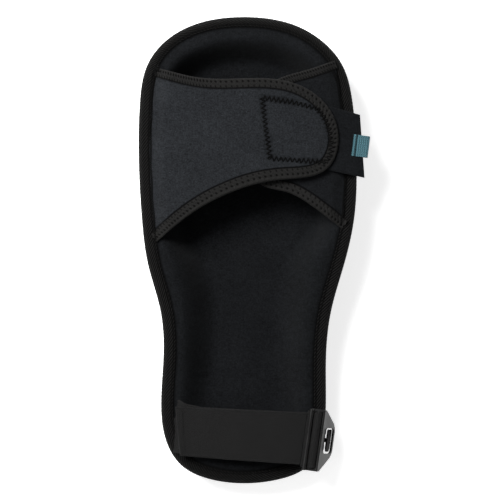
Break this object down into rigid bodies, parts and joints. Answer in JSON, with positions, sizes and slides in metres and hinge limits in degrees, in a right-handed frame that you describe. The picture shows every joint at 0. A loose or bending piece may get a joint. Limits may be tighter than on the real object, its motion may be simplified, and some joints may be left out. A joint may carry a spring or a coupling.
{
  "type": "knee and shin pad",
  "caption": "Long moulded foam pad for knee and shin with rubber caps, bound rim, wrap-over knee flaps with a hook tab, and an elastic lower strap with a stud clip.",
  "frame": {"origin": "centre of the knee cap's flat tread, where it meets the ground", "axes": "+Y from the shin end to the thigh end, +Z from the kneeling face towards the leg, +X to the right seen from the leg side; the pad lies on its treads"},
  "size_m": [0.22, 0.4466, 0.0798],
  "materials": {
    "binding_tape": "black ribbed polyester twill tape, matte",
    "lining_cloth": "black brushed jersey on neoprene, matte",
    "flap_neoprene": "black smooth neoprene with knitted face, soft sheen",
    "flap_tape": "black elastic edge tape, cover stitched",
    "hook_tape": "black hook tape with a plain woven back",
    "pull_webbing": "teal herringbone webbing",
    "elastic": "black woven elastic, fine ribs",
    "cover_cloth": "black heavy plain-weave nylon",
    "foam": "dark closed-cell foam",
    "gel": "soft translucent gel",
    "soft_foam": "soft open-cell foam",
    "cap_rubber": "black moulded rubber, matte, worn at the tread edges",
    "clip_plastic": "black moulded acetal, satin",
    "rivet_metal": "plated steel"
  },
  "bodies": {
    "pad": {"outer_cover": "cover_cloth", "inner_lining": "lining_cloth", "foam_core": "foam", "knee_gel_pad": "gel", "shin_cushion": "soft_foam", "edge_binding": "binding_tape", "knee_cap": "cap_rubber", "shin_cap": "cap_rubber", "side_stud": "clip_plastic", "stud_backing_plate": "clip_plastic", "stud_rivets": "rivet_metal"},
    "left_flap": {"left_flap": "flap_neoprene", "left_flap_edging": "flap_tape", "hook_tab": "hook_tape"},
    "tab_end": {"hook_tab_end": "hook_tape", "pull_tab": "pull_webbing"},
    "right_flap": {"right_flap": "flap_neoprene", "right_flap_edging": "flap_tape"},
    "strap": {"calf_strap": "elastic"},
    "strap_end": {"strap_return": "elastic", "strap_hook_patch": "hook_tape"},
    "clip": {"strap_clip": "clip_plastic", "strap_loop": "elastic"}
  },
  "joints": [
    {"name": "left_flap_open", "type": "hinge", "parent": "pad", "child": "left_flap", "pos_m": [-0.0926, 0, 0.0674], "axis": [0, -1, 0], "range_deg": [0, 150]},
    {"name": "right_flap_open", "type": "hinge", "parent": "pad", "child": "right_flap", "pos_m": [0.0952, 0, 0.0671], "axis": [0, 1, 0], "range_deg": [0, 105.5]},
    {"name": "tab_peel", "type": "hinge", "parent": "left_flap", "child": "tab_end", "pos_m": [0.0887, 0.01, 0.0699], "axis": [0, -1, 0], "range_deg": [0, 75]},
    {"name": "strap_swing", "type": "hinge", "parent": "pad", "child": "strap", "pos_m": [-0.07, -0.262, 0.0453], "axis": [0, -1, 0], "range_deg": [0, 130]},
    {"name": "strap_end_peel", "type": "hinge", "parent": "strap", "child": "strap_end", "pos_m": [0.05519, -0.27055, 0.05319], "axis": [0.1392, 0.9903, 0], "range_deg": [0, 60]},
    {"name": "clip_tilt", "type": "hinge", "parent": "strap", "child": "clip", "pos_m": [0.05519, -0.27055, 0.05319], "axis": [-0.1392, -0.9903, 0], "range_deg": [0, 45]}
  ],
  "couplings": [
    {"joint": "right_flap_open", "follows": "left_flap_open", "ratio": 0.7}
  ]
}
